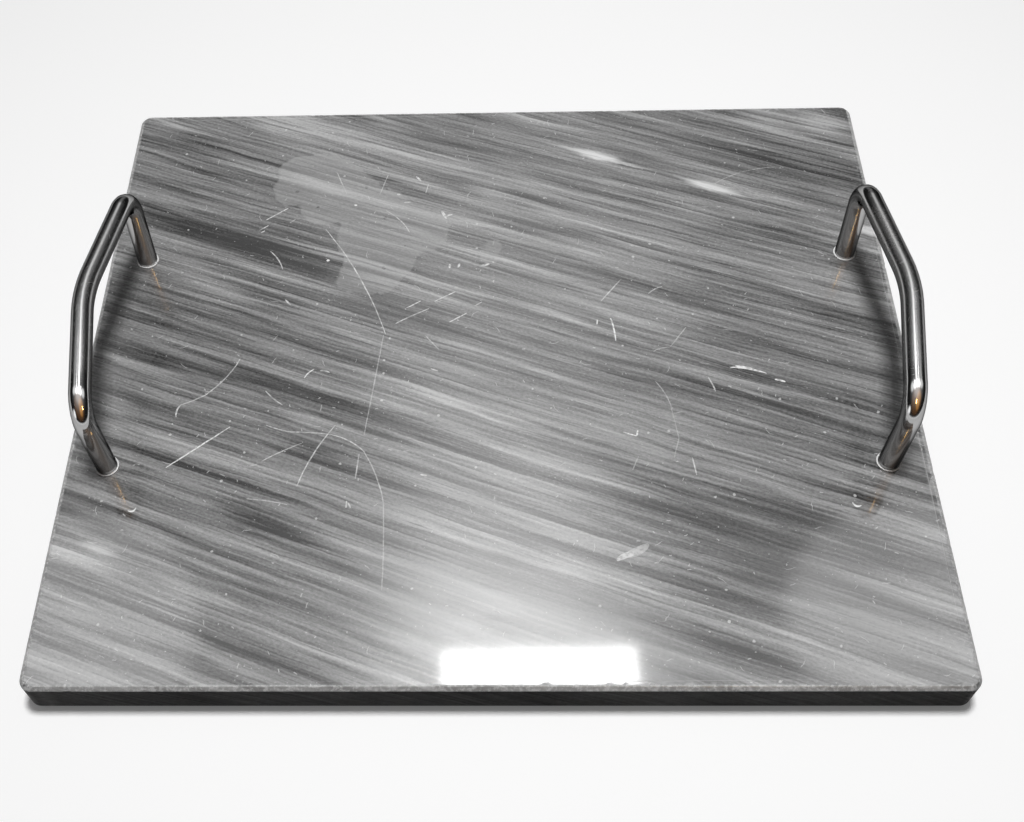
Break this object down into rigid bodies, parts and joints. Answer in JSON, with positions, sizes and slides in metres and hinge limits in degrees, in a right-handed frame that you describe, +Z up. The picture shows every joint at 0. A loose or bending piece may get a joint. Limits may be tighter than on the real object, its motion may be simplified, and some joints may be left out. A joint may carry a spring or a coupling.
{
  "type": "serving tray",
  "caption": "Rectangular polished grey marble serving tray with bent steel rod handles at both ends, bolted through the stone and standing on low rubber feet.",
  "frame": {"origin": "on the table under the middle of the slab, at the underside of the feet", "axes": "+X from the left handle to the right handle, +Y from the front edge to the back edge, +Z up"},
  "size_m": [0.4, 0.35, 0.0749],
  "materials": {
    "marble": "polished",
    "polished_steel": "polished",
    "clear_nylon": "gloss",
    "zinc_steel": "satin",
    "foot_rubber": "matte"
  },
  "bodies": {
    "root": {"marble_slab": "marble", "left_handle": "polished_steel", "right_handle": "polished_steel", "seat_washer_front_left": "clear_nylon", "seat_washer_back_left": "clear_nylon", "seat_washer_front_right": "clear_nylon", "seat_washer_back_right": "clear_nylon", "load_washer_front_left": "zinc_steel", "load_washer_back_left": "zinc_steel", "load_washer_front_right": "zinc_steel", "load_washer_back_right": "zinc_steel", "handle_screw_front_left": "zinc_steel", "handle_screw_back_left": "zinc_steel", "handle_screw_front_right": "zinc_steel", "handle_screw_back_right": "zinc_steel", "foot_front_left": "foot_rubber", "foot_back_left": "foot_rubber", "foot_front_right": "foot_rubber", "foot_back_right": "foot_rubber"}
  },
  "joints": []
}
